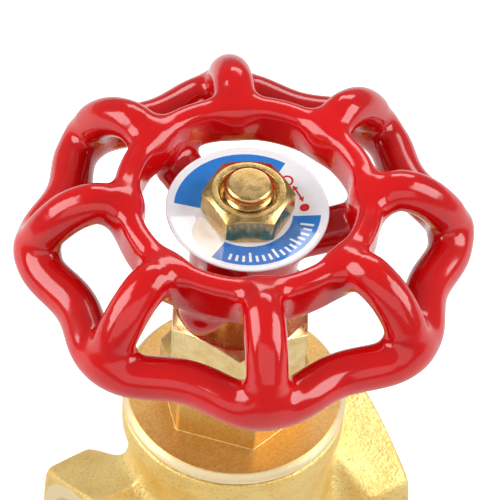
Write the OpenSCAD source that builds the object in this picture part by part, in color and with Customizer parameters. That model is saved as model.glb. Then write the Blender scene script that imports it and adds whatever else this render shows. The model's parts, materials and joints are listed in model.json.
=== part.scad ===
// Brass gate valve with a non-rising stem, half-inch pipe threads and a cast handwheel.
// The pipe axis runs along X and the stem axis along Z. Z = 0 is the lowest edge of the
// hexagonal pipe collars, under the stem axis. The gate is drawn closed.

/* [Pipe ends] */
// Distance between the two end faces
face_to_face = 42; // [42:0.5:50]
// Width of the hexagonal collars across their flats
collar_af = 27; // [26:0.5:29]
// Length of each hexagonal collar
collar_len = 8.2; // [7:0.1:10]
// Radius of the pipe thread's minor diameter
port_r = 9.32; // [9:0.01:9.5]
// Depth of the pipe thread
port_depth = 10.4; // [9:0.1:10.6]

/* [Body] */
// Radius of the waterway through the seats
waterway_r = 6; // [5.5:0.1:6.2]
// Radius of the barrel between the collars
barrel_r = 12.2; // [12:0.1:13]
// Radius of the upright neck
neck_r = 13.5; // [13.2:0.1:14]
// Radius of the neck's top rim
rim_r = 14.6; // [14.4:0.1:16]
// Height of the neck's top rim above the pipe axis
rim_above_pipe = 24.5; // [24.4:0.1:27]

/* [Bonnet] */
// Width of the bonnet's hexagon across its flats
bonnet_af = 17.8; // [17.6:0.1:20]
// Angle of the bonnet's hexagon
bonnet_hex_angle = 11; // [0:1:59]
// Width of the packing nut across its flats
packing_nut_af = 17; // [16.8:0.1:19]
// Angle of the packing nut's hexagon
packing_nut_angle = -3; // [-30:1:30]

/* [Stem and gate] */
// Diameter of the stem's journal and of its trapezoidal thread
stem_d = 7; // [6.8:0.1:7]
// Travel of the gate from closed to open
gate_lift = 14.2; // [13.5:0.1:14.4]
// Half of the gate's thickness at the pipe axis
gate_half = 5.3; // [5.2:0.1:5.4]

/* [Handwheel] */
// Radius of the rim's centre line at the tips of its lobes
lobe_tip_r = 25.9; // [25.5:0.1:28]
// Radius of the rim's centre line between its lobes
lobe_gap_r = 23.3; // [23.2:0.1:25]
// Number of lobes, each with one arched spoke
lobes = 8; // [6:1:10]
// Angle of the first lobe
lobe_angle = 18.3; // [0:0.1:44]
// Diameter of the rim
rim_d = 5.7; // [5:0.1:6]
// Diameter of the arched spokes
spoke_d = 5.3; // [4.8:0.1:5.6]
// Mean radius of the inner ring
ring_r = 14.85; // [14:0.05:15.2]
// Number of webs between the inner ring and the hub
webs = 3; // [3:1:4]

/* [Hidden] */
$fn = 96;
tiny = 0.01;

// Heights of the pipe axis and of the body
pipe_z = collar_af / sqrt(3);
rim_z = pipe_z + rim_above_pipe;
end_x = face_to_face / 2;
collar_x = end_x - collar_len;

// Chamber that the gate moves in
chamber_half_x = gate_half + 2;
chamber_half_y = 9.6;
seat_r = 8.4;
seat_gap = 0.1;
wedge_slope = 0.07;
wedge_disc_r = 8.2;
wedge_bottom = pipe_z - wedge_disc_r;
wedge_shoulder = pipe_z + wedge_disc_r;
wedge_top = pipe_z + 12.6;
guide_w = 2;
guide_h = 1.1;
bonnet_bore_r = 12;
bonnet_bore_z = rim_z - 9;

// Heights up the bonnet
gasket_h = 0.6;
flange_z = rim_z + gasket_h;
flange_top = flange_z + 1.4;
bonnet_hex_top = flange_top + 7;
bonnet_thread_r = 7;
bonnet_top = bonnet_hex_top + 7;
bonnet_skirt_z = bonnet_bore_z + 0.6;
cavity_r = 10.4;
cavity_top = wedge_shoulder + gate_lift + 2.7;
ring_thread_r = 6.6;
ring_h = 2.2;
ring_z = flange_top + 1.1;
stem_collar_z = ring_z + ring_h + 0.1;
stem_collar_h = 1.8;
stem_collar_r = 5.2;
washer_z = stem_collar_z + stem_collar_h + 0.05;
washer_h = 0.5;
web_z = washer_z + washer_h;
box_z = web_z + 1.7;
box_r = 5.3;

// Packing, gland and packing nut
stem_r = stem_d / 2;
running = 0.05;
packing_washer_h = 0.8;
packing_h = 1.5;
packing_z = box_z + packing_washer_h;
gland_z = packing_z + 3 * packing_h;
gland_flange_z = bonnet_top + 0.9;
packing_nut_z = bonnet_hex_top + 2.9;
packing_nut_top = packing_nut_z + 8.2;
packing_nut_roof = 2;
gland_top = packing_nut_top - packing_nut_roof;

// Upper end of the stem and what is on it
hub_z = packing_nut_top + 6.6;
hub_top = hub_z + 9.5;
hub_r = 6.8;
square_af = 5.8;
square_gap = 0.05;
thread_r = 3;
plate_t = 0.5;
plate_r = 10;
plate_flat_r = 6;
plate_rise = 0.7;
nut_z = hub_top + plate_t;
nut_h = 4;
nut_af = 10;
stem_top = nut_z + nut_h + 1.2;
stem_bottom = wedge_top - 6;

// Handwheel heights
rim_centre_z = hub_top - 5.4;
ring_half_h = 3.2;
ring_half_w = 1.5;
ring_centre_z = hub_top + 1.3;
spoke_rise = 2;
web_d = 6.4;
web_angle = -24.2;
facets = 12;

// Hexagonal bar with both ends turned to a chamfer, on the Z axis.
module hex_bar(af, h, bottom_cut, top_cut, turn = 0) {
  corner = af / sqrt(3);
  slope = 0.5;
  intersection() {
    rotate([0, 0, turn])
      cylinder(r = corner, h = h, $fn = 6);
    rotate_extrude()
      polygon([
        [0, 0],
        [corner + 0.02 - bottom_cut, 0],
        [corner + 0.02, bottom_cut * slope],
        [corner + 0.02, h - top_cut * slope],
        [corner + 0.02 - top_cut, h],
        [0, h]
      ]);
  }
}

// Tube on the Z axis.
module tube(outer_r, inner_r, z, h) {
  translate([0, 0, z])
    difference() {
      cylinder(r = outer_r, h = h);
      translate([0, 0, -1])
        cylinder(r = inner_r, h = h + 2);
    }
}

// Cylinder along X, centred on the pipe axis.
module along_pipe(r, x0, x1) {
  translate([x0, 0, pipe_z])
    rotate([0, 90, 0])
      cylinder(r = r, h = x1 - x0);
}

// One hexagonal collar, with a corner at the top.
module pipe_collar() {
  chamfer = 1.1;
  translate([collar_x, 0, pipe_z])
    rotate([0, 90, 0])
      hex_bar(collar_af, collar_len, 1.6, chamfer);
}

// Outline of the gate seen along Y, grown by a gap.
module wedge_outline(z0, z1, gap) {
  low = gate_half + (z0 - pipe_z) * wedge_slope + gap;
  high = gate_half + (z1 - pipe_z) * wedge_slope + gap;
  polygon([[-low, z0], [low, z0], [high, z1], [-high, z1]]);
}

module wedge_block(z0, z1, half_y, gap) {
  rotate([90, 0, 0])
    translate([0, 0, -half_y])
      linear_extrude(2 * half_y)
        wedge_outline(z0, z1, gap);
}

// Outer skin of the body casting.
module body_outside() {
  for (side = [0, 1])
    mirror([side, 0, 0])
      pipe_collar();
  along_pipe(barrel_r, -collar_x - 1, collar_x + 1);
  translate([0, 0, pipe_z])
    sphere(r = neck_r);
  rotate_extrude()
    polygon([
      [0, pipe_z],
      [neck_r, pipe_z],
      [neck_r, rim_z - 8],
      [neck_r + 0.5, rim_z - 5.5],
      [rim_r, rim_z - 3],
      [rim_r, rim_z],
      [0, rim_z]
    ]);
}

// Space that the gate moves in, with two upright guide ribs left standing.
module chamber() {
  difference() {
    union() {
      along_pipe(chamber_half_y + 0.6, -chamber_half_x, chamber_half_x);
      translate([-chamber_half_x, -chamber_half_y, pipe_z])
        cube([2 * chamber_half_x, 2 * chamber_half_y, bonnet_bore_z - pipe_z + tiny]);
    }
    for (side = [-1, 1])
      translate([-guide_w / 2, side * (chamber_half_y - guide_h / 2 + 0.5) - (guide_h + 1) / 2, 0])
        cube([guide_w, guide_h + 1, bonnet_bore_z]);
  }
}

module body() {
  thread_start = end_x - port_depth;
  color("#d9b562")
    difference() {
      union() {
        difference() {
          body_outside();
          chamber();
        }
        along_pipe(seat_r, -chamber_half_x - 0.5, chamber_half_x + 0.5);
      }
      wedge_block(wedge_bottom - 2, bonnet_bore_z, chamber_half_y - guide_h, seat_gap);
      along_pipe(waterway_r, -end_x - 1, end_x + 1);
      for (side = [0, 1])
        mirror([side, 0, 0]) {
          along_pipe(port_r, thread_start, end_x + 1);
          translate([end_x - 1.2, 0, pipe_z])
            rotate([0, 90, 0])
              cylinder(r1 = port_r, r2 = port_r + 1.4, h = 1.2 + tiny);
        }
      translate([0, 0, bonnet_bore_z])
        cylinder(r = bonnet_bore_r, h = rim_z);
    }
}

module bonnet_gasket() {
  color("#e8e4d8")
    tube(rim_r - 0.9, bonnet_bore_r + 0.05, rim_z, gasket_h);
}

module bonnet() {
  color("#c99a45")
    difference() {
      union() {
        rotate_extrude()
          polygon([
            [0, bonnet_skirt_z],
            [bonnet_bore_r - running - 0.5, bonnet_skirt_z],
            [bonnet_bore_r - running, bonnet_skirt_z + 0.6],
            [bonnet_bore_r - running, flange_z],
            [rim_r, flange_z],
            [rim_r, flange_z + 0.3],
            [rim_r - 0.7, flange_top],
            [0, flange_top]
          ]);
        translate([0, 0, flange_top - tiny])
          hex_bar(bonnet_af, bonnet_hex_top - flange_top, 0, 1, bonnet_hex_angle);
        translate([0, 0, bonnet_hex_top - 1])
          cylinder(r = bonnet_thread_r - 0.8, h = 2.5);
        translate([0, 0, bonnet_hex_top + 1.2])
          cylinder(r = bonnet_thread_r, h = bonnet_top - bonnet_hex_top - 1.2);
      }
      translate([0, 0, bonnet_skirt_z - 1])
        cylinder(r = cavity_r, h = cavity_top - bonnet_skirt_z + 1);
      translate([0, 0, cavity_top - 1])
        cylinder(r = ring_thread_r, h = ring_z + ring_h - cavity_top + 1);
      translate([0, 0, cavity_top])
        cylinder(r = stem_collar_r + 0.4, h = web_z - cavity_top);
      cylinder(r = stem_r + running, h = bonnet_top + 1);
      translate([0, 0, box_z])
        cylinder(r = box_r, h = bonnet_top - box_z + 1);
    }
}

// Threaded ring that keeps the stem's collar up in the bonnet.
module retaining_ring() {
  slot_w = 1.2;
  color("#c9a050")
    difference() {
      tube(ring_thread_r - running, stem_r + 0.3, ring_z, ring_h);
      translate([-ring_thread_r - 1, -slot_w / 2, ring_z - 1])
        cube([2 * ring_thread_r + 2, slot_w, 1.8]);
    }
}

module thrust_washer() {
  color("#f0efe8")
    tube(stem_collar_r + 0.2, stem_r + running, washer_z, washer_h);
}

module packing_washer() {
  color("#c9a050")
    tube(box_r - running, stem_r + running, box_z, packing_washer_h);
}

module packing_ring(index) {
  color("#55565a")
    tube(box_r - 0.02, stem_r + running, packing_z + index * packing_h, packing_h - 0.02);
}

module gland() {
  color("#c9a050") {
    tube(box_r - running, stem_r + running, gland_z, gland_flange_z - gland_z + tiny);
    tube(bonnet_thread_r - 0.35, stem_r + running, gland_flange_z, gland_top - gland_flange_z);
  }
}

module packing_nut() {
  color("#dcbc6c")
    difference() {
      translate([0, 0, packing_nut_z])
        hex_bar(packing_nut_af, packing_nut_top - packing_nut_z, 0.5, 1.1, packing_nut_angle);
      translate([0, 0, packing_nut_z - 1])
        cylinder(r = bonnet_thread_r + running, h = gland_top - packing_nut_z + 1);
      cylinder(r = stem_r + 0.3, h = packing_nut_top + 1);
    }
}

module stem() {
  square_z = hub_z + 0.6;
  color("#c8a352") {
    rotate_extrude()
      polygon([
        [0, stem_bottom],
        [stem_r - 0.8, stem_bottom],
        [stem_r, stem_bottom + 0.8],
        [stem_r, stem_collar_z],
        [stem_collar_r, stem_collar_z],
        [stem_collar_r, stem_collar_z + stem_collar_h],
        [stem_r, stem_collar_z + stem_collar_h],
        [stem_r, square_z],
        [0, square_z]
      ]);
    intersection() {
      translate([-square_af / 2, -square_af / 2, square_z - tiny])
        cube([square_af, square_af, hub_top - square_z + 2 * tiny]);
      cylinder(r = stem_r, h = stem_top);
    }
    rotate_extrude()
      polygon([
        [0, hub_top],
        [thread_r, hub_top],
        [thread_r, stem_top - 0.5],
        [thread_r - 0.5, stem_top],
        [0, stem_top]
      ]);
  }
}

// Solid wedge gate: a tapered disc with a boss that holds the stem's thread.
module wedge() {
  color("#cfa955")
    difference() {
      union() {
        intersection() {
          wedge_block(wedge_bottom, wedge_shoulder, wedge_disc_r, 0);
          union() {
            along_pipe(wedge_disc_r, -end_x, end_x);
            translate([-end_x, -wedge_disc_r, pipe_z])
              cube([face_to_face, 2 * wedge_disc_r, wedge_disc_r]);
          }
        }
        translate([0, 0, wedge_shoulder - 2])
          cylinder(r = gate_half + 0.4, h = wedge_top - wedge_shoulder + 2);
      }
      translate([0, 0, wedge_bottom - 1])
        cylinder(r = stem_r + running, h = wedge_top - wedge_bottom + 2);
      for (side = [-1, 1])
        translate([-guide_w / 2 - 0.35, side * wedge_disc_r - 1, 0])
          cube([guide_w + 0.7, 2, wedge_top]);
    }
}

// Radius of the rim's centre line at an angle from a lobe's tip.
function rim_radius(a) =
  (lobe_tip_r + lobe_gap_r) / 2 + (lobe_tip_r - lobe_gap_r) / 2 * cos(lobes * a);

function on_circle(r, a, z) = [r * cos(a), r * sin(a), z];

// Points of one spoke, which leaves the ring level and bends down to the rim.
function spoke_points(a) = [
  on_circle(ring_r + 0.4, a, ring_centre_z + 0.4),
  on_circle(lobe_tip_r - 7.9, a, ring_centre_z + spoke_rise),
  on_circle(lobe_tip_r - 5.7, a, ring_centre_z + spoke_rise - 0.5),
  on_circle(lobe_tip_r - 3.5, a, ring_centre_z),
  on_circle(lobe_tip_r - 1.4, a, ring_centre_z - 2.6),
  on_circle(lobe_tip_r, a, rim_centre_z)
];

// Round bar through a list of points.
module bar(points, d) {
  for (i = [0 : len(points) - 2])
    hull() {
      translate(points[i])
        sphere(d = d, $fn = facets);
      translate(points[i + 1])
        sphere(d = d, $fn = facets);
    }
}

module wheel_rim() {
  steps = lobes * 7;
  bar(
    [for (i = [0 : steps]) let (a = i * 360 / steps) on_circle(rim_radius(a), a + lobe_angle, rim_centre_z)],
    rim_d
  );
}

module wheel_ring() {
  bevel = 1;
  rotate_extrude($fn = 64)
    translate([ring_r, ring_centre_z])
      polygon([
        [-ring_half_w, -ring_half_h + bevel],
        [-ring_half_w + bevel, -ring_half_h],
        [ring_half_w - bevel, -ring_half_h],
        [ring_half_w, -ring_half_h + bevel],
        [ring_half_w, ring_half_h - bevel],
        [ring_half_w - bevel, ring_half_h],
        [-ring_half_w + bevel, ring_half_h],
        [-ring_half_w, ring_half_h - bevel]
      ]);
}

// One web, at angle 0: a thick bar that slopes from under the ring to the hub.
module wheel_web() {
  bar([[ring_r - 1.7, 0, ring_centre_z - 5.1], [hub_r - 2.8, 0, hub_z + 3.6]], web_d);
}

module handwheel() {
  hole = square_af + 2 * square_gap;
  color("#d61f1f")
    difference() {
      union() {
        wheel_rim();
        for (i = [0 : lobes - 1])
          bar(spoke_points(lobe_angle + i * 360 / lobes), spoke_d);
        wheel_ring();
        for (i = [0 : webs - 1])
          rotate([0, 0, web_angle + i * 360 / webs])
            wheel_web();
        translate([0, 0, hub_z])
          cylinder(r = hub_r, h = hub_top - hub_z);
      }
      translate([-hole / 2, -hole / 2, hub_z - 1])
        cube([hole, hole, hub_top - hub_z + 2]);
      translate([0, 0, hub_z - 1])
        cylinder(r = stem_r + square_gap, h = 1.65);
    }
}

// Thin aluminium plate, dished a little where the nut clamps it.
module nameplate() {
  color("#3d86cf")
    rotate_extrude()
      polygon([
        [thread_r + 0.15, hub_top],
        [plate_flat_r, hub_top],
        [plate_r, hub_top + plate_rise],
        [plate_r, hub_top + plate_rise + plate_t],
        [plate_flat_r, hub_top + plate_t],
        [thread_r + 0.15, hub_top + plate_t]
      ]);
}

module wheel_nut() {
  color("#caa24c")
    difference() {
      translate([0, 0, nut_z])
        hex_bar(nut_af, nut_h, 0.4, 0.9, 30);
      translate([0, 0, nut_z - 1])
        cylinder(r = thread_r + 0.02, h = nut_h + 2);
    }
}

body();
bonnet_gasket();
bonnet();
retaining_ring();
thrust_washer();
packing_washer();
packing_ring(0);  // packing_ring_1
packing_ring(1);  // packing_ring_2
packing_ring(2);  // packing_ring_3
gland();
packing_nut();
stem();
wedge();
handwheel();
nameplate();
wheel_nut();
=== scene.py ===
# Looks of the brass gate valve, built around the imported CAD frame.
# Shapes are worked out in millimetres and written to Blender in metres.
import itertools
import json
import math

import bpy
import numpy as np
from mathutils import Matrix, Vector


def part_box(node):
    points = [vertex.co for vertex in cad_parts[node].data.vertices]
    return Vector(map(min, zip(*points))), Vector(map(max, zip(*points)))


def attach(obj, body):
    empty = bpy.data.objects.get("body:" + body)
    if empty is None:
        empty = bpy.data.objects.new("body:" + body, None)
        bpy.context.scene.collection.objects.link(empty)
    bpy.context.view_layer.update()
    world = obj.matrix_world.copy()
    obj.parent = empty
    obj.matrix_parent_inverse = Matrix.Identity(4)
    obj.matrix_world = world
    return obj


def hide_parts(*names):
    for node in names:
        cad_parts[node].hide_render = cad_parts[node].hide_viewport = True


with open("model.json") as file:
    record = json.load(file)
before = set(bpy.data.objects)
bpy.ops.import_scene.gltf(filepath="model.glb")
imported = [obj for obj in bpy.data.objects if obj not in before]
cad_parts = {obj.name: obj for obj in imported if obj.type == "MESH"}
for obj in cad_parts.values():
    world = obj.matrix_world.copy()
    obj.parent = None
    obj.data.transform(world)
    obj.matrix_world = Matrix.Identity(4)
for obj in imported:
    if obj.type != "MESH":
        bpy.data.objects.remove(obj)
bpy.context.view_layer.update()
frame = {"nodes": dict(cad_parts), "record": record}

MM = 0.001
SIDES = 288
ANGLES = np.linspace(0, 2 * math.pi, SIDES, endpoint=False)


# ---------------------------------------------------------------- sizes from the frame

def low(node):
    """Lowest height of a CAD node, in millimetres."""
    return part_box(node)[0].z / MM


def high(node):
    """Highest height of a CAD node, in millimetres."""
    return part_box(node)[1].z / MM


def widest(node):
    """Half the width of a CAD node along X, in millimetres."""
    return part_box(node)[1].x / MM


def mount_height(name):
    """Height of a mount's centre, in millimetres."""
    mounts = frame["record"]["mounts"]
    return next(m for m in mounts if m["name"] == name)["pos_m"][2] / MM


PIPE_Z = mount_height("outlet_port")
END_X = widest("body")
RIM_TOP = low("bonnet_gasket")
FLANGE_Z = high("bonnet_gasket")
FLANGE_TOP = FLANGE_Z + 1.4
BONNET_HEX_TOP = FLANGE_TOP + 7
HUB_Z = low("handwheel")
HUB_TOP = low("nameplate")
RIM_CENTRE_Z = HUB_TOP - 5.4
RING_CENTRE_Z = HUB_TOP + 1.3

# Body
COLLAR_AF = 27
COLLAR_X = END_X - 8.2
COLLAR_OUTER_CHAMFER = 1.3
COLLAR_INNER_CHAMFER = 1.8
BARREL_R = 12.2
NECK_R = 13.5
RIM_R = 14.6
PORT_MINOR_R = 9.32
PORT_MAJOR_R = 10.48
PORT_DEPTH = 10.4
PORT_PITCH = 1.814
PORT_RING_R = 12.9
WATERWAY_R = 6
BONNET_BORE_R = 12
BONNET_BORE_Z = RIM_TOP - 9
CASTING_SWELL = 0.03
BODY_GRID = 0.385

# Room inside the body for the wedge, from the pipe axis
SLOT_HALF_X = 5.4
SLOT_TAPER = 0.07
SLOT_HALF_Y = 8.5
SLOT_FLOOR_R = 10.2
CHAMBER_HALF_X = 7.3
CHAMBER_HALF_Y = 9.6
CHAMBER_FLOOR = 8.4

# Handwheel
LOBES = 8
LOBE_ANGLE = math.radians(18.3)
LOBE_TIP_R = 25.7
LOBE_GAP_R = 23.2
RIM_BAR_R = 2.75
SPOKE_R = 2.55
RING_R = 14.85
RING_HALF_W = 1.5
RING_HALF_H = 3.2
HUB_R = 6.8
HUB_HOLE_R = 3.6
WEBS = 3
WEB_R = 3.15
WEB_ANGLE = math.radians(-24.2)
ENAMEL_SWELL = 0.025
WHEEL_GRID = 0.43

# Bonnet, nuts and stem
BONNET_AF = 17.8
BONNET_HEX_ANGLE = math.radians(11)
BONNET_CAVITY_R = 10.4
BONNET_THREAD_R = 7
STUFFING_BOX_R = 5.3
PACKING_NUT_AF = 17
PACKING_NUT_ANGLE = math.radians(-3)
WHEEL_NUT_AF = 10
WHEEL_NUT_ANGLE = math.radians(30)
CHAMFER_SLOPE = 0.577
STEM_R = 3.5
STEM_THREAD_R = 3.48
STEM_COLLAR_R = 5.2
STEM_COLLAR_H = 1.8
STEM_SQUARE_AF = 5.8
STEM_END_R = 3

# Nameplate
PLATE_R = 10
PLATE_HOLE_R = 3.15
PLATE_FLAT_R = 6
PLATE_RISE = 0.7
PLATE_T = 0.5
PRINT_INNER_R = 5.6
PRINT_OUTER_R = 9.0
BLUE_ARCS = [(180, 62), (0, -116)]
MARK_R = 7.05
TICK_OUTER_R = 8.4
INK_DEPTH = -0.03
INK_LIFT = 0.02

# The camera looks at the valve with its pipe axis turned by this much in plan. From the camera,
# the nameplate's middle lies at the offset: across, up or down, and ahead.
PLAN_TURN = math.radians(35.73)
CAMERA_ELEVATION = math.radians(49.34)
CAMERA_ROLL = math.radians(-4.31)
CAMERA_OFFSET = (-0.293, 5.185, 407.68)
CAMERA_LENS = 240.97


# ---------------------------------------------------------------- mesh building

def add_piece(name, points, faces, materials, body, node=None, indices=None):
    """Makes a piece from points in millimetres, lets it ride on a body and stand for a node."""
    mesh = bpy.data.meshes.new(name)
    mesh.from_pydata((np.asarray(points) * MM).tolist(), [], faces)
    mesh.shade_smooth()
    for material in materials:
        mesh.materials.append(material)
    if indices is not None:
        mesh.polygons.foreach_set("material_index", indices)
    piece = bpy.data.objects.new(name, mesh)
    bpy.context.scene.collection.objects.link(piece)
    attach(piece, body)
    if node:
        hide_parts(node)
    return piece


def keep_flats_flat(piece):
    """Weights the normals by face size, so that flats stay flat beside their rounded edges."""
    modifier = piece.modifiers.new("weighted normals", "WEIGHTED_NORMAL")
    modifier.mode = "FACE_AREA"
    modifier.weight = 60


def smooth_min(a, b, blend):
    share = np.clip(0.5 + 0.5 * (b - a) / blend, 0, 1)
    return b + (a - b) * share - blend * share * (1 - share)


def smooth_max(a, b, blend):
    return -smooth_min(-a, -b, blend)


def rounded_box(u, v, half_u, half_v, radius):
    """Distance to a rectangle with rounded corners."""
    du = np.abs(u) - half_u + radius
    dv = np.abs(v) - half_v + radius
    outside = np.hypot(np.maximum(du, 0), np.maximum(dv, 0))
    return outside + np.minimum(np.maximum(du, dv), 0) - radius


def net_faces(inside, number, faces):
    """Adds one face for each grid edge that crosses the surface."""
    for axis in range(3):
        turned = np.moveaxis(inside, [axis, (axis + 1) % 3, (axis + 2) % 3], [0, 1, 2])
        cells = np.moveaxis(number, [axis, (axis + 1) % 3, (axis + 2) % 3], [0, 1, 2])
        first = turned[:-1, 1:-1, 1:-1]
        second = turned[1:, 1:-1, 1:-1]
        i, j, k = np.nonzero(first != second)
        quad = np.stack(
            [cells[i, j, k], cells[i, j + 1, k], cells[i, j + 1, k + 1], cells[i, j, k + 1]], 1
        )
        flip = second[i, j, k]
        quad[flip] = quad[flip, ::-1]
        faces.append(quad)


def surface_net(field, lowest, highest, step):
    """Points and four-sided faces of the surface where a distance field is zero."""
    lowest = np.asarray(lowest, float)
    counts = np.ceil((np.asarray(highest) - lowest) / step).astype(int) + 1
    axes = [lowest[i] + step * np.arange(counts[i]) for i in range(3)]
    values = field(*np.meshgrid(*axes, indexing="ij"))
    inside = values < 0
    corners = list(itertools.product((0, 1), repeat=3))
    cut = [slice(0, -1), slice(1, None)]
    insides = sum(inside[cut[a], cut[b], cut[c]].astype(np.int8) for a, b, c in corners)
    active = (insides > 0) & (insides < 8)
    number = np.full(active.shape, -1)
    number[active] = np.arange(active.sum())
    total = np.zeros((active.sum(), 3))
    crossings = np.zeros(active.sum())
    for start, end in itertools.combinations(corners, 2):
        if sum(a != b for a, b in zip(start, end)) != 1:
            continue
        first = values[tuple(cut[c] for c in start)][active]
        second = values[tuple(cut[c] for c in end)][active]
        crosses = (first < 0) != (second < 0)
        share = np.where(crosses, first / np.where(crosses, first - second, 1), 0)
        place = np.array(start) + share[:, None] * (np.array(end) - np.array(start))
        total += place * crosses[:, None]
        crossings += crosses
    points = lowest + step * (np.argwhere(active) + total / crossings[:, None])
    faces = []
    net_faces(inside, number, faces)
    return settle(points, field, step), np.concatenate(faces).tolist()


def settle(points, field, step):
    """Moves points on to the surface along the field's slope."""
    gap = 0.02
    for _ in range(3):
        value = field(*points.T)
        slope = np.empty_like(points)
        for axis in range(3):
            shift = np.zeros(3)
            shift[axis] = gap
            slope[:, axis] = (field(*(points + shift).T) - field(*(points - shift).T)) / (2 * gap)
        move = slope * (value / np.maximum((slope**2).sum(1), 0.3))[:, None]
        points = points - np.clip(move, -step / 2, step / 2)
    return points


def rounded_profile(profile):
    """Rings of a profile of (radius, height, rounding), with each rounded corner as five rings."""
    full = [
        (np.broadcast_to(r, SIDES).astype(float), np.broadcast_to(z, SIDES).astype(float), edge)
        for r, z, edge in profile
    ]
    rings = []
    for i, (r, z, edge) in enumerate(full):
        here = np.stack([r, z])
        if edge == 0:
            rings.append(here)
            continue
        before = np.stack(full[i - 1][:2]) - here
        after = np.stack(full[(i + 1) % len(full)][:2]) - here
        length_before = np.maximum(np.hypot(*before), 1e-6)
        length_after = np.maximum(np.hypot(*after), 1e-6)
        reach = np.minimum(edge, 0.45 * np.minimum(length_before, length_after))
        start = here + before / length_before * reach
        end = here + after / length_after * reach
        for s in (0, 0.25, 0.5, 0.75, 1):
            rings.append((1 - s) ** 2 * start + 2 * s * (1 - s) * here + s * s * end)
    return rings


def turned_solid(profile, closed):
    """Points and faces of a solid turned on the stem axis. An open profile ends on the axis."""
    rings = rounded_profile(profile)
    count = len(rings)
    points = np.concatenate(
        [np.stack([r * np.cos(ANGLES), r * np.sin(ANGLES), z], 1) for r, z in rings]
    )
    here = np.arange(SIDES)
    beside = (here + 1) % SIDES
    faces = []
    for i in range(count if closed else count - 1):
        lower = i * SIDES
        upper = ((i + 1) % count) * SIDES
        quads = np.stack([lower + here, lower + beside, upper + beside, upper + here], 1)
        faces += quads.tolist()
    if not closed:
        ends = [[0, 0, rings[0][1].mean()], [0, 0, rings[-1][1].mean()]]
        first, last = len(points), len(points) + 1
        points = np.concatenate([points, ends])
        top = (count - 1) * SIDES
        faces += np.stack([beside, here, np.full(SIDES, first)], 1).tolist()
        faces += np.stack([top + here, top + beside, np.full(SIDES, last)], 1).tolist()
    return points, faces


def hexagon(across_flats, corner, turn):
    """Radius of a hexagon at every angle, with rounded corners."""
    phi = np.abs((ANGLES - turn) % (math.pi / 3) - math.pi / 6)
    half = across_flats / 2
    flat = half / np.cos(phi)
    centre = (half - corner) / math.cos(math.pi / 6)
    away = math.pi / 6 - phi
    under = np.maximum(corner**2 - (centre * np.sin(away)) ** 2, 0)
    arc = centre * np.cos(away) + np.sqrt(under)
    on_flat = half * np.tan(phi) <= (half - corner) * math.tan(math.pi / 6)
    return np.where(on_flat, flat, arc)


def thread(radius, depth, pitch, start, end, hand=1, steps=12):
    """Profile rings of a screw thread that runs out at both ends."""
    rings = []
    for z in np.arange(start, end, pitch / steps):
        phase = (z / pitch - hand * ANGLES / (2 * math.pi)) % 1
        groove = np.clip(1.35 * np.abs(2 * phase - 1) - 0.2, 0, 1)
        fade = min(1, (z - start) / pitch, (end - z) / pitch)
        rings.append((radius - depth * fade * groove, z, 0))
    return rings


# ---------------------------------------------------------------- materials

class Finish:
    """A material's node tree, with the Principled shader and short calls for its nodes."""

    def __init__(self, name, **constants):
        self.material = bpy.data.materials.new(name)
        self.material.use_nodes = True
        self.tree = self.material.node_tree
        self.shader = self.tree.nodes["Principled BSDF"]
        self.place = self.tree.nodes.new("ShaderNodeTexCoord").outputs["Object"]
        for socket, value in constants.items():
            self.shader.inputs[socket.replace("_", " ")].default_value = value

    def node(self, kind, inputs, output=0, **settings):
        """Adds a node. An input is a link where it is given as another node's output."""
        made = self.tree.nodes.new(kind)
        for setting, value in settings.items():
            setattr(made, setting, value)
        for socket, value in inputs.items():
            if isinstance(value, bpy.types.NodeSocket):
                self.tree.links.new(value, made.inputs[socket])
            else:
                made.inputs[socket].default_value = value
        return made.outputs[output]

    def times(self, factors):
        """The place, with each axis multiplied."""
        return self.node(
            "ShaderNodeVectorMath", {0: self.place, 1: factors}, operation="MULTIPLY"
        )

    def noise(self, size, detail=3, roughness=0.55, seed=0):
        """Noise with features of about the given size in millimetres."""
        moved = self.node("ShaderNodeVectorMath", {0: self.place, 1: (seed, seed, seed)})
        return self.node(
            "ShaderNodeTexNoise",
            {"Vector": moved, "Scale": 1000 / size, "Detail": detail, "Roughness": roughness},
        )

    def stretched_noise(self, size, stretch):
        """Noise drawn out along some axes, for tool marks and brushing."""
        scaled = self.times(stretch)
        return self.node(
            "ShaderNodeTexNoise", {"Vector": scaled, "Scale": 1000 / size, "Detail": 2}
        )

    def radius(self):
        """Distance from the stem axis."""
        flat = self.times((1, 1, 0))
        return self.node("ShaderNodeVectorMath", {0: flat}, output=1, operation="LENGTH")

    def rings(self, size):
        """Turning marks round the stem axis, by radius."""
        return self.node(
            "ShaderNodeTexNoise",
            {"W": self.radius(), "Scale": 1000 / size, "Detail": 2},
            noise_dimensions="1D",
        )

    def levels(self, value, start, end, new_start=0.0, new_end=1.0):
        """A value mapped from one range to another, and kept inside it."""
        return self.node(
            "ShaderNodeMapRange",
            {"Value": value, 1: start, 2: end, 3: new_start, 4: new_end},
        )

    def math(self, operation, a, b):
        return self.node("ShaderNodeMath", {0: a, 1: b}, operation=operation)

    def mix(self, share, a, b):
        """Colour a, going to colour b as share goes to 1."""
        return self.node("ShaderNodeMix", {0: share, 6: a, 7: b}, output=2, data_type="RGBA")

    def bump(self, height, depth, under=None):
        """Bump of the given depth in millimetres."""
        inputs = {"Height": height, "Distance": depth * MM, "Strength": 1.0}
        if under is not None:
            inputs["Normal"] = under
        return self.node("ShaderNodeBump", inputs)

    def use(self, **sockets):
        """Links outputs to the shader's sockets and gives the finished material."""
        for socket, value in sockets.items():
            self.tree.links.new(value, self.shader.inputs[socket.replace("_", " ")])
        return self.material


def linear(red, green, blue):
    """A colour given in screen values of 0 to 255, as the shader needs it."""
    return tuple(((c / 255 + 0.055) / 1.055) ** 2.4 for c in (red, green, blue)) + (1,)


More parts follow.
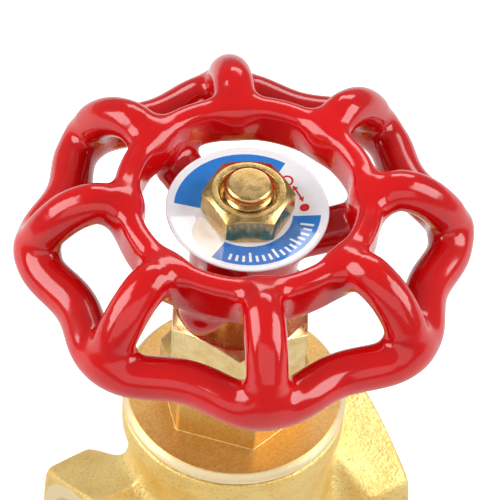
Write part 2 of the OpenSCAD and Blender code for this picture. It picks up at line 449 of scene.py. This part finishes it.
def red_enamel():
    """Thick glossy dip coat, darker where it has pooled."""
    f = Finish("red_enamel", Coat_Weight=0.3, Coat_Roughness=0.04, Specular_IOR_Level=0.5)
    pooled = f.levels(f.noise(9, detail=2), 0.35, 0.7)
    colour = f.mix(pooled, linear(206, 10, 13), linear(186, 6, 10))
    flecks = f.levels(f.noise(0.5, detail=2, seed=3), 0.70, 0.78)
    colour = f.mix(f.math("MULTIPLY", flecks, 0.25), colour, linear(140, 8, 10))
    rough = f.levels(f.noise(3, seed=1), 0.3, 0.7, 0.1, 0.18)
    waves = f.bump(f.noise(7, detail=1, seed=2), 0.10)
    peel = f.bump(f.noise(0.9, detail=2, seed=4), 0.004, waves)
    return f.use(Base_Color=colour, Roughness=rough, Normal=peel)


def cast_brass():
    """Shot-blasted brass casting: matt, bright, with a fine grain."""
    f = Finish("cast_brass", Metallic=0.85)
    patches = f.levels(f.noise(7, detail=4), 0.3, 0.7)
    colour = f.mix(patches, linear(248, 222, 148), linear(232, 198, 118))
    pits = f.levels(f.noise(0.4, detail=3, seed=5), 0.55, 0.70)
    colour = f.mix(f.math("MULTIPLY", pits, 0.5), colour, linear(186, 148, 76))
    rough = f.levels(f.noise(1.2, seed=2), 0.3, 0.7, 0.42, 0.58)
    lumps = f.bump(f.noise(2.2, detail=2, seed=7), 0.08)
    grain = f.bump(f.noise(0.42, detail=3, seed=1), 0.16, lumps)
    return f.use(Base_Color=colour, Roughness=rough, Normal=grain)


def machined_brass():
    """Turned brass: a speckled, slightly tarnished tone, with a painted highlight: pale colour far
    from the stem axis, standing in for the bright reflection on the flange's rim.
    """
    f = Finish("machined_brass", Metallic=0.95)
    speckle = f.levels(f.noise(0.4, detail=4, seed=2), 0.3, 0.75)
    colour = f.mix(speckle, linear(230, 194, 122), linear(206, 162, 94))
    # Painted highlight: colour paled at the largest radii, in place of the bright reflection on the
    # bonnet flange's bevel and side.
    painted_highlight = f.levels(f.radius(), (RIM_R - 0.75) * MM, (RIM_R - 0.55) * MM)
    colour = f.mix(f.math("MULTIPLY", painted_highlight, 0.75), colour, linear(252, 236, 196))
    rough = f.levels(f.noise(1.6, seed=6), 0.3, 0.7, 0.36, 0.5)
    marks = f.bump(f.rings(0.16), 0.012)
    lines = f.bump(f.stretched_noise(0.2, (0.02, 0.02, 1)), 0.008, marks)
    grain = f.bump(f.noise(0.22, detail=3, seed=4), 0.022, lines)
    return f.use(Base_Color=colour, Roughness=rough, Normal=grain)


def bright_brass(name, light, dark, mark_depth, smoothest, roughest):
    """Bar-stock brass, cut to a bright finish that shows its tool marks."""
    f = Finish(name, Metallic=1.0)
    tone = f.levels(f.noise(1.8, detail=4, seed=3), 0.35, 0.7)
    colour = f.mix(tone, light, dark)
    stains = f.levels(f.noise(0.5, detail=3, seed=8), 0.62, 0.75)
    colour = f.mix(f.math("MULTIPLY", stains, 0.22), colour, linear(122, 84, 34))
    rough = f.levels(f.noise(0.9, seed=6), 0.3, 0.7, smoothest, roughest)
    lines = f.bump(f.stretched_noise(0.16, (0.02, 0.02, 1)), mark_depth)
    marks = f.bump(f.rings(0.13), mark_depth * 0.7, lines)
    return f.use(Base_Color=colour, Roughness=rough, Normal=marks)


def plate_coat(name, colour_a, colour_b):
    """Lacquered print on thin aluminium, with faint scratches."""
    f = Finish(name, Coat_Weight=0.5, Coat_Roughness=0.03, Specular_IOR_Level=0.6)
    cloud = f.levels(f.noise(3.5, detail=3), 0.35, 0.7)
    colour = f.mix(cloud, colour_a, colour_b)
    scratches = f.levels(f.stretched_noise(0.35, (1, 0.04, 0.3)), 0.66, 0.72)
    rough = f.levels(scratches, 0, 1, 0.07, 0.22)
    normal = f.bump(f.noise(1.8, detail=2, seed=2), 0.006)
    return f.use(Base_Color=colour, Roughness=rough, Normal=normal)


def gasket_fibre():
    """Pale pressed-fibre sheet."""
    f = Finish("gasket_fibre")
    fibres = f.levels(f.stretched_noise(0.4, (0.2, 1, 1)), 0.35, 0.7)
    colour = f.mix(fibres, linear(196, 194, 178), linear(150, 148, 132))
    rough = f.levels(f.noise(0.5), 0.3, 0.7, 0.6, 0.85)
    return f.use(Base_Color=colour, Roughness=rough, Normal=f.bump(f.noise(0.2), 0.03))


def ptfe():
    """Milky, slightly waxy low-friction plastic."""
    f = Finish("ptfe", Subsurface_Weight=0.2)
    cloud = f.levels(f.noise(1.5), 0.35, 0.7)
    colour = f.mix(cloud, linear(240, 239, 232), linear(224, 222, 212))
    rough = f.levels(f.noise(0.6, seed=1), 0.3, 0.7, 0.35, 0.5)
    return f.use(Base_Color=colour, Roughness=rough, Normal=f.bump(f.rings(0.2), 0.01))


def graphite():
    """Braided graphite packing, pressed to a dull sheen."""
    f = Finish("graphite", Metallic=0.3)
    strands = f.levels(f.noise(0.7, detail=4), 0.35, 0.65)
    colour = f.mix(strands, linear(58, 59, 62), linear(88, 90, 95))
    rough = f.levels(f.noise(0.4, seed=1), 0.3, 0.7, 0.4, 0.6)
    return f.use(Base_Color=colour, Roughness=rough, Normal=f.bump(f.noise(0.4, seed=3), 0.06))


RED = red_enamel()
CAST = cast_brass()
MACHINED = machined_brass()
CUT = bright_brass("cut_brass", linear(238, 214, 156), linear(218, 186, 122), 0.012, 0.18, 0.3)
NUT_BRASS = bright_brass("nut_brass", linear(228, 196, 132), linear(190, 152, 88), 0.006, 0.2, 0.36)
STEM_BRASS = bright_brass(
    "stem_brass", linear(226, 190, 130), linear(200, 160, 98), 0.005, 0.2, 0.34
)
WHITE_COAT = plate_coat("white_coat", linear(236, 236, 240), linear(226, 227, 232))
BLUE_PRINT = plate_coat("blue_print", linear(40, 122, 206), linear(32, 112, 196))
RED_PRINT = plate_coat("red_print", linear(206, 30, 38), linear(196, 24, 34))
WHITE_PRINT = plate_coat("white_print", linear(238, 240, 244), linear(230, 232, 238))
FIBRE = gasket_fibre()
PTFE = ptfe()
GRAPHITE = graphite()


# ---------------------------------------------------------------- handwheel

def curve_through(points, steps):
    """A smooth curve through points, by Catmull-Rom."""
    p = np.array([points[0], *points, points[-1]], float)
    out = []
    for i in range(len(points) - 1):
        for t in np.arange(steps) / steps:
            a, b, c, d = p[i : i + 4]
            out.append(
                0.5 * (2 * b + (c - a) * t + (2 * a - 5 * b + 4 * c - d) * t**2
                       + (3 * b - a - 3 * c + d) * t**3)
            )
    out.append(p[-1])
    return np.array(out)


SPOKE_CURVE = curve_through(
    [(15.2, 0.4), (18, 1.9), (20.2, 1.5), (22.4, 0), (24.5, -2.6), (25.5, -5.0)], 3
) + [0, RING_CENTRE_Z]


def rim_distance(r, turn, z):
    """A round bar that waves in and out, once for each lobe."""
    wave = LOBES * turn
    depth = (LOBE_TIP_R - LOBE_GAP_R) / 2
    centre = (LOBE_TIP_R + LOBE_GAP_R) / 2 + depth * np.cos(wave)
    lean = depth * LOBES * np.sin(wave) / centre
    return np.hypot((r - centre) / np.sqrt(1 + lean**2), z - RIM_CENTRE_Z) - RIM_BAR_R


def spoke_distance(along, across, z):
    """A round bar that arches from the ring over to the rim."""
    nearest = np.full(along.shape, 1e9)
    for (u0, z0), (u1, z1) in zip(SPOKE_CURVE[:-1], SPOKE_CURVE[1:]):
        length = (u1 - u0) ** 2 + (z1 - z0) ** 2
        t = np.clip(((along - u0) * (u1 - u0) + (z - z0) * (z1 - z0)) / length, 0, 1)
        gap = (along - u0 - t * (u1 - u0)) ** 2 + (z - z0 - t * (z1 - z0)) ** 2
        nearest = np.minimum(nearest, gap)
    return np.sqrt(nearest + across**2) - SPOKE_R


def web_distance(r, plan, z):
    """Three thick bars that slope from under the ring to the hub, narrower below."""
    pitch = 2 * math.pi / WEBS
    turn = (plan - WEB_ANGLE + pitch / 2) % pitch - pitch / 2
    along, across = r * np.cos(turn), r * np.sin(turn)
    outer_u, outer_z = RING_R - 1.7, RING_CENTRE_Z - 5.1
    inner_u, inner_z = HUB_R - 2.8, HUB_Z + 3.6
    share = np.clip((along - inner_u) / (outer_u - inner_u), 0, 1)
    sunk = inner_z + share * (outer_z - inner_z) - z
    beyond = along - (inner_u + share * (outer_u - inner_u))
    keel = 1 + 0.7 * np.clip(sunk / WEB_R, 0, 1)
    return np.sqrt(beyond**2 + sunk**2 + (across * keel) ** 2) - WEB_R


def wheel_distance(x, y, z):
    """The whole wheel, with its parts run together and the enamel a little uneven."""
    r = np.hypot(x, y)
    plan = np.arctan2(y, x)
    pitch = 2 * math.pi / LOBES
    turn = np.abs((plan - LOBE_ANGLE + pitch / 2) % pitch - pitch / 2)
    rim = rim_distance(r, turn, z)
    spoke = spoke_distance(r * np.cos(turn), r * np.sin(turn), z)
    ring = rounded_box(r - RING_R, z - RING_CENTRE_Z, RING_HALF_W, RING_HALF_H, 1.25)
    hub = rounded_box(r, z - (HUB_Z + HUB_TOP) / 2, HUB_R, (HUB_TOP - HUB_Z) / 2, 0.7)
    inner = smooth_min(ring, web_distance(r, plan, z), 1.4)
    inner = smooth_min(inner, hub, 1.4)
    outer = smooth_min(rim, spoke, 1.8)
    wheel = smooth_min(inner, outer, 2.0)
    coat = np.sin(0.55 * x + 0.31 * z + 1) + np.sin(0.47 * y - 0.39 * z + 2)
    coat = coat + np.sin(0.35 * x + 0.42 * y + 0.9 * z)
    return np.maximum(wheel - ENAMEL_SWELL * coat, HUB_HOLE_R - r)


def build_handwheel():
    reach = widest("handwheel") + 1.5
    points, faces = surface_net(
        wheel_distance,
        (-reach, -reach, HUB_Z - 1),
        (reach, reach, high("handwheel") + 1),
        WHEEL_GRID,
    )
    add_piece("handwheel_casting", points, faces, [RED], "stem_assembly", "handwheel")


# ---------------------------------------------------------------- body casting

def neck_radius(z):
    """Radius of the upright neck at a height, growing to its rim."""
    heights = [RIM_TOP - 9.5, RIM_TOP - 6.5, RIM_TOP - 3.2, RIM_TOP]
    return np.interp(z, heights, [NECK_R, NECK_R + 0.3, RIM_R, RIM_R])


def collar_distance(x, y, up, from_axis):
    """A hexagon with a corner at the top and both ends turned to a chamfer."""
    side = np.abs(x)
    hexagonal = smooth_max(np.abs(y), np.abs(y) / 2 + np.abs(up) * math.sqrt(0.75), 0.9)
    hexagonal = hexagonal - COLLAR_AF / 2
    corner = COLLAR_AF / math.sqrt(3)
    outer_cut = from_axis - corner + COLLAR_OUTER_CHAMFER - 2 * (END_X - side)
    inner_cut = from_axis - corner + COLLAR_INNER_CHAMFER - 2 * (side - COLLAR_X)
    cuts = smooth_max(outer_cut / math.sqrt(5), inner_cut / math.sqrt(5), 0.5)
    ends = smooth_max(side - END_X + 0.03, COLLAR_X - side, 0.5)
    return smooth_max(smooth_max(hexagonal, cuts, 0.9), ends, 0.5)


def chamber_distance(x, y, up):
    """The room inside the body: waterway, gate slot, chamber and the bonnet's bore."""
    side = np.abs(x)
    waterway = np.hypot(y, up) - WATERWAY_R
    slot_half = SLOT_HALF_X + SLOT_TAPER * up
    slot = np.maximum(side - slot_half, np.abs(y) - SLOT_HALF_Y)
    slot = np.maximum(slot, np.hypot(y, np.minimum(up, 0)) - SLOT_FLOOR_R)
    bore_floor = BONNET_BORE_Z - PIPE_Z
    chamber = np.maximum(side - CHAMBER_HALF_X, np.abs(y) - CHAMBER_HALF_Y)
    chamber = np.maximum(chamber, CHAMBER_FLOOR - up)
    opening = np.minimum(slot, chamber)
    opening = np.maximum(opening, up - bore_floor - 0.5)
    bonnet_bore = np.maximum(np.hypot(x, y) - BONNET_BORE_R, bore_floor - up)
    port = np.maximum(np.hypot(y, up) - PORT_MAJOR_R - 0.3, END_X - PORT_DEPTH - side)
    return np.minimum(np.minimum(waterway, opening), np.minimum(bonnet_bore, port))


def body_distance(x, y, z):
    """The body casting, with its room inside cut out. Its uneven skin stays inside the CAD's."""
    up = z - PIPE_Z
    from_axis = np.hypot(y, up)
    r = np.hypot(x, y)
    collar = collar_distance(x, y, up, from_axis)
    barrel = np.maximum(from_axis - BARREL_R, np.abs(x) - COLLAR_X - 1)
    ball = np.sqrt(r * r + up * up) - NECK_R
    neck = np.maximum(r - neck_radius(z), -up)
    skin = smooth_min(smooth_min(barrel, ball, 2.0), neck, 2.4)
    skin = smooth_min(skin, collar, 3.0)
    skin = smooth_max(skin, z - RIM_TOP, 0.5)
    uneven = np.sin(0.6 * x + 0.5 * y + 0.3 * z) + np.sin(0.5 * z - 0.7 * y + 1)
    skin = skin + CASTING_SWELL * uneven + 2 * CASTING_SWELL
    return np.maximum(skin, -chamber_distance(x, y, up))


def build_body():
    points, faces = surface_net(
        body_distance,
        (-END_X - 1, -RIM_R - 1, -1),
        (END_X + 1, RIM_R + 1, RIM_TOP + 1),
        BODY_GRID,
    )
    add_piece("body_casting", points, faces, [CAST], "root", "body")


def build_port(name, side):
    """Machined end face, chamfer and pipe thread of one port, as a ring set in the casting."""
    depth = PORT_MAJOR_R - PORT_MINOR_R
    back_r = 11
    inside = thread(PORT_MAJOR_R, depth, PORT_PITCH, 0.9, PORT_DEPTH - 0.6, steps=10)
    profile = [
        (PORT_RING_R, 0, 0.1),
        (PORT_MAJOR_R + 0.5, 0, 0.1),
        (PORT_MAJOR_R, 0.5, 0),
        *inside,
        (PORT_MAJOR_R, PORT_DEPTH - 0.4, 0),
        (PORT_MAJOR_R, PORT_DEPTH, 0),
        (back_r, PORT_DEPTH, 0),
        (back_r, 0.6, 0),
        (PORT_RING_R, 0.6, 0),
    ]
    points, faces = turned_solid(profile[::-1], closed=True)
    x, y, z = points.T
    placed = np.stack([side * (END_X - z), side * y, PIPE_Z + x], 1)
    add_piece(name, placed, faces, [MACHINED], "root")


# ---------------------------------------------------------------- turned parts

def hex_rings(shape, z0, z1, low_r, high_r, edge):
    """Profile of a hexagonal bar between two heights, with both ends chamfered to a circle."""
    return [
        (low_r, z0, edge),
        (shape, z0 + (shape - low_r) * CHAMFER_SLOPE, edge),
        (shape, z1 - (shape - high_r) * CHAMFER_SLOPE, edge),
        (high_r, z1, edge),
    ]


def build_bonnet():
    shape = hexagon(BONNET_AF, 0.5, BONNET_HEX_ANGLE)
    hex_top_r = 8.4
    skirt_r = BONNET_BORE_R - 0.1
    edge_r = RIM_R - 0.03
    stem_hole_r = STEM_R + 0.05
    collar_room_r = STEM_COLLAR_R + 0.4
    ring_thread_r = 6.6
    skirt_z = low("bonnet")
    top = high("bonnet")
    ring_top = high("retaining_ring")
    web_z = high("thrust_washer")
    box_z = low("packing_washer")
    cavity_top = low("retaining_ring") - 2.5
    profile = [
        (BONNET_CAVITY_R, skirt_z, 0.1),
        (skirt_r - 0.5, skirt_z, 0.1),
        (skirt_r, skirt_z + 0.6, 0.1),
        (skirt_r, FLANGE_Z, 0),
        (edge_r, FLANGE_Z, 0.1),
        (edge_r, FLANGE_Z + 0.45, 0.1),
        (RIM_R - 0.75, FLANGE_TOP, 0.12),
        (shape + 0.12, FLANGE_TOP, 0.06),
        (shape, FLANGE_TOP + 0.12, 0.06),
        (shape, BONNET_HEX_TOP - (shape - hex_top_r) * CHAMFER_SLOPE, 0.15),
        (hex_top_r, BONNET_HEX_TOP, 0.15),
        (6.2, BONNET_HEX_TOP, 0.1),
        *thread(BONNET_THREAD_R, 0.75, 1.25, BONNET_HEX_TOP + 0.6, top - 0.3),
        (BONNET_THREAD_R - 0.4, top, 0.1),
        (STUFFING_BOX_R, top, 0.1),
        (STUFFING_BOX_R, box_z, 0),
        (stem_hole_r, box_z, 0),
        (stem_hole_r, web_z, 0),
        (collar_room_r, web_z, 0),
        (collar_room_r, ring_top, 0),
        (ring_thread_r, ring_top, 0),
        (ring_thread_r, cavity_top, 0.1),
        (BONNET_CAVITY_R, cavity_top, 0.3),
    ]
    points, faces = turned_solid(profile, closed=True)
    piece = add_piece(
        "bonnet_turned", points, faces, [MACHINED], "root", "bonnet"
    )
    keep_flats_flat(piece)


def build_packing_nut():
    shape = hexagon(PACKING_NUT_AF, 0.3, PACKING_NUT_ANGLE)
    bore_r = BONNET_THREAD_R + 0.05
    z0, z1 = low("packing_nut"), high("packing_nut")
    profile = [
        (bore_r, z0 + 0.5, 0.1),
        (7.5, z0, 0.1),
        *hex_rings(shape, z0, z1, 8.3, 8.4, 0.15),
        (3.9, z1, 0.1),
        (3.9, high("gland"), 0),
        (bore_r, high("gland"), 0),
    ]
    points, faces = turned_solid(profile, closed=True)
    piece = add_piece(
        "packing_nut_cut", points, faces, [CUT], "root", "packing_nut"
    )
    keep_flats_flat(piece)


def build_wheel_nut():
    shape = hexagon(WHEEL_NUT_AF, 0.15, WHEEL_NUT_ANGLE)
    z0, z1 = low("wheel_nut"), high("wheel_nut")
    profile = [
        (STEM_END_R + 0.02, z0 + 0.6, 0),
        (3.5, z0, 0.05),
        *hex_rings(shape, z0, z1, 4.8, 4.5, 0.1),
        (3.75, z1, 0.08),
        (STEM_END_R + 0.02, z1 - 0.7, 0),
    ]
    points, faces = turned_solid(profile, closed=True)
    piece = add_piece(
        "wheel_nut_cut", points, faces, [NUT_BRASS], "stem_assembly", "wheel_nut"
    )
    keep_flats_flat(piece)


def build_stem():
    z0, z1 = low("stem"), high("stem")
    collar_z = low("thrust_washer") - 0.05 - STEM_COLLAR_H
    square_z = HUB_Z + 0.6
    fold = np.abs((ANGLES + math.pi / 4) % (math.pi / 2) - math.pi / 4)
    square = np.minimum(STEM_R - 0.05, STEM_SQUARE_AF / 2 / np.cos(fold))
    profile = [
        (0.02, z0, 0),
        (2.6, z0, 0.1),
        (STEM_R - 0.05, z0 + 0.8, 0),
        *thread(STEM_THREAD_R, 0.9, 2, z0 + 0.9, collar_z - 2, hand=-1, steps=14),
        (STEM_THREAD_R, collar_z, 0.05),
        (STEM_COLLAR_R, collar_z, 0.1),
        (STEM_COLLAR_R, collar_z + STEM_COLLAR_H, 0.1),
        (STEM_R, collar_z + STEM_COLLAR_H, 0.05),
        (STEM_R, square_z, 0.05),
        (square, square_z, 0.05),
        (square, HUB_TOP, 0.05),
        (2.6, HUB_TOP, 0.05),
        *thread(STEM_END_R, 0.6, 1, HUB_TOP + 0.05, z1 - 0.25),
        (2.5, z1, 0.08),
        (0.02, z1, 0),
    ]
    points, faces = turned_solid(profile, closed=False)
    piece = add_piece(
        "stem_turned", points, faces, [STEM_BRASS], "stem_assembly", "stem"
    )
    keep_flats_flat(piece)


# ---------------------------------------------------------------- nameplate

def plate_top(r):
    """Height of the plate's upper face at a radius."""
    share = np.clip((r - PLATE_FLAT_R) / (PLATE_R - PLATE_FLAT_R), 0, 1)
    return HUB_TOP + PLATE_T + PLATE_RISE * share


def in_arc(angle, start, end):
    """Whether a view-plan angle in degrees lies on an arc that runs clockwise."""
    return (start - angle) % 360 <= (start - end) % 360


def build_nameplate():
    radii = [
        PLATE_HOLE_R, 4.5, PRINT_INNER_R, PLATE_FLAT_R, 6.5, 7, 8, PRINT_OUTER_R, 9.5, PLATE_R - 0.1
    ]
    upper = [(r, plate_top(r), 0) for r in radii]
    lower = [(r, plate_top(r) - PLATE_T, 0) for r in reversed(radii[:-1])]
    edge_z = plate_top(PLATE_R)
    edge = [
        (PLATE_R, edge_z - 0.08, 0),
        (PLATE_R, edge_z - 0.22, 0),
        (PLATE_R - 0.12, edge_z - 0.3, 0),
    ]
    profile = upper + edge + lower
    points, faces = turned_solid(profile[::-1], closed=True)
    corners = points[np.array(faces)]
    middle = corners.mean(1)
    radius = np.hypot(middle[:, 0], middle[:, 1])
    plan = np.degrees(np.arctan2(middle[:, 1], middle[:, 0]) + PLAN_TURN)
    printed = (radius > PRINT_INNER_R) & (radius < PRINT_OUTER_R)
    printed &= middle[:, 2] > plate_top(radius) - 0.05
    printed &= np.any([in_arc(plan, start, end) for start, end in BLUE_ARCS], axis=0)
    piece = add_piece(
        "nameplate_disc", points, faces, [WHITE_COAT, BLUE_PRINT],
        "stem_assembly", "nameplate", printed.astype(np.int32),
    )
    keep_flats_flat(piece)


def add_prism(shape, hole, points, faces):
    """Adds one printed shape. Its hole, if it has one, has as many corners as its outline."""
    count, first = len(shape), len(points)
    for loop in (shape, hole):
        angle = np.radians([a for a, _ in loop]) - PLAN_TURN
        radius = np.array([r for _, r in loop])
        for lift in (INK_DEPTH, INK_LIFT):
            z = plate_top(radius) + lift
            points += np.stack([radius * np.cos(angle), radius * np.sin(angle), z], 1).tolist()
    top, hole_low, hole_top = first + count, first + 2 * count, first + 3 * count
    for i in range(count):
        j = (i + 1) % count
        faces.append([first + i, first + j, top + j, top + i])
        if hole:
            faces.append([hole_low + j, hole_low + i, hole_top + i, hole_top + j])
            faces.append([first + j, first + i, hole_low + i, hole_low + j])
            faces.append([top + i, top + j, hole_top + j, hole_top + i])
    if not hole:
        faces.append(list(range(top - 1, first - 1, -1)))
        faces.append(list(range(top, top + count)))


def ink(name, shapes, material):
    """Flat printed shapes on the plate, each an outline and a hole or an empty list.

    The corners are (view-plan degrees, radius), anticlockwise seen from above.
    """
    points, faces = [], []
    for shape, hole in shapes:
        add_prism(shape, hole, points, faces)
    piece = add_piece(name, points, faces, [material], "stem_assembly")
    piece.data.shade_flat()


def anticlockwise(shape):
    """A printed shape's corners, put in anticlockwise order seen from above."""
    a = np.radians([p[0] for p in shape])
    r = np.array([p[1] for p in shape])
    x, y = r * np.cos(a), r * np.sin(a)
    area = np.sum(x * np.roll(y, -1) - np.roll(x, -1) * y)
    return shape if area > 0 else shape[::-1]


def round_mark(middle, radius):
    """Corners of a small circle round a view-plan angle."""
    degree = 180 / (math.pi * MARK_R)
    return anticlockwise([
        (middle + radius * math.cos(t) * degree, MARK_R + radius * math.sin(t))
        for t in np.arange(24) * math.pi / 12
    ])


def arrow_marks():
    """A double arrow between an open circle and a dot, for the two ways to turn."""
    head_length = 0.75 * 180 / (math.pi * MARK_R)
    thin, wide = 0.11, 0.36
    shaft = [(38, MARK_R + thin), (38, MARK_R - thin), (21, MARK_R - thin), (21, MARK_R + thin)]
    shapes = [(anticlockwise(shaft), [])]
    for tip, way in ((41.5, -1), (17.5, 1)):
        base = tip + way * head_length
        head = [(tip, MARK_R), (base, MARK_R + wide), (base, MARK_R - wide)]
        shapes.append((anticlockwise(head), []))
    shapes.append((round_mark(49.5, 0.8), round_mark(49.5, 0.56)))
    shapes.append((round_mark(10, 0.6), []))
    return shapes


def tick_marks():
    """A plain scale of ticks round the blue band."""
    shapes = []
    half_width = 1.2
    for i, angle in enumerate(np.arange(-12, -108, -6)):
        inner_r = 6.7 if i % 4 == 0 else 7.3
        start, end = angle - half_width, angle + half_width
        tick = [(start, inner_r), (start, TICK_OUTER_R), (end, TICK_OUTER_R), (end, inner_r)]
        shapes.append((anticlockwise(tick), []))
    return shapes


# ---------------------------------------------------------------- pieces that keep the CAD mesh

def finish_cad_nodes():
    finishes = {
        "bonnet_gasket": FIBRE,
        "retaining_ring": MACHINED,
        "thrust_washer": PTFE,
        "packing_washer": MACHINED,
        "packing_ring_1": GRAPHITE,
        "packing_ring_2": GRAPHITE,
        "packing_ring_3": GRAPHITE,
        "gland": MACHINED,
        "wedge": CAST,
    }
    for node, material in finishes.items():
        mesh = frame["nodes"][node].data
        mesh.materials.clear()
        mesh.materials.append(material)


# ---------------------------------------------------------------- floor, lights, camera

def build_floor():
    """Plain white table, which looks brighter to the camera than it lights the valve."""
    bpy.ops.mesh.primitive_plane_add(size=6, location=(0, 0, 0))
    floor = bpy.context.object
    floor.name = "floor"
    f = Finish("floor_white", Roughness=0.8)
    f.shader.inputs["Emission Color"].default_value = (1, 1, 1, 1)
    tone = f.levels(f.noise(60, detail=2), 0.3, 0.7)
    colour = f.mix(tone, (0.62, 0.62, 0.62, 1), (0.6, 0.6, 0.6, 1))
    seen = f.node("ShaderNodeLightPath", {})
    glow = f.levels(seen, 0, 1, 0.1, 0.8)
    floor.data.materials.append(f.use(Base_Color=colour, Emission_Strength=glow))


def build_world():
    """Even, weak white light from all round."""
    world = bpy.data.worlds.new("studio")
    bpy.context.scene.world = world
    world.use_nodes = True
    background = world.node_tree.nodes["Background"]
    background.inputs["Color"].default_value = (1, 1, 1, 1)
    background.inputs["Strength"].default_value = 0.25


def softbox(name, place, aim, width, height, radiance):
    """A rectangular light. Places are in millimetres, with X to the camera's right."""
    light = bpy.data.lights.new(name, "AREA")
    light.shape = "RECTANGLE"
    light.size = width * MM
    light.size_y = height * MM
    light.energy = radiance * math.pi * light.size * light.size_y
    holder = bpy.data.objects.new(name, light)
    turn = Matrix.Rotation(-PLAN_TURN, 4, "Z")
    holder.location = turn @ (Vector(place) * MM)
    target = turn @ (Vector(aim) * MM)
    holder.rotation_euler = (target - holder.location).to_track_quat("-Z", "Y").to_euler()
    bpy.context.scene.collection.objects.link(holder)


def build_lights():
    """Two large softboxes beside the valve, one behind it and a weak one in front."""
    wheel = (0, 0, 70)
    body = (0, 0, 30)
    softbox("left_box", (-480, -60, 400), wheel, 460, 460, 5)
    softbox("right_box", (480, -20, 380), wheel, 400, 420, 5)
    softbox("back_box", (60, 520, 420), wheel, 420, 200, 4)
    softbox("front_panel", (0, -540, 380), body, 1100, 420, 0.9)


def build_camera():
    """A long lens that looks down on the wheel."""
    offset = Vector(CAMERA_OFFSET) * MM
    sine, cosine = math.sin(CAMERA_ELEVATION), math.cos(CAMERA_ELEVATION)
    level = Matrix(((1, 0, 0), (0, sine, cosine), (0, cosine, -sine)))
    rolled = Matrix.Rotation(CAMERA_ROLL, 3, "Z") @ level
    turn = Matrix.Rotation(-PLAN_TURN, 3, "Z")
    plate_middle = Vector((0, 0, HUB_TOP + 1.31)) * MM
    place = turn @ -(rolled.transposed() @ offset) + plate_middle
    right, up, forward = (turn @ Vector(row) for row in rolled)
    data = bpy.data.cameras.new("camera")
    data.lens = CAMERA_LENS
    data.sensor_width = 36
    data.clip_start = 0.01
    camera = bpy.data.objects.new("camera", data)
    bpy.context.scene.collection.objects.link(camera)
    axes = Matrix((right, up, -forward)).transposed().to_4x4()
    camera.matrix_world = Matrix.Translation(place) @ axes
    bpy.context.scene.camera = camera


build_camera()
build_world()
build_lights()
build_floor()
build_body()
build_port("outlet_thread", 1)
build_port("inlet_thread", -1)
build_bonnet()
build_packing_nut()
build_stem()
build_handwheel()
build_nameplate()
ink("turn_marks", arrow_marks(), RED_PRINT)
ink("scale_marks", tick_marks(), WHITE_PRINT)
build_wheel_nut()
finish_cad_nodes()
bpy.context.scene.view_settings.view_transform = "Standard"
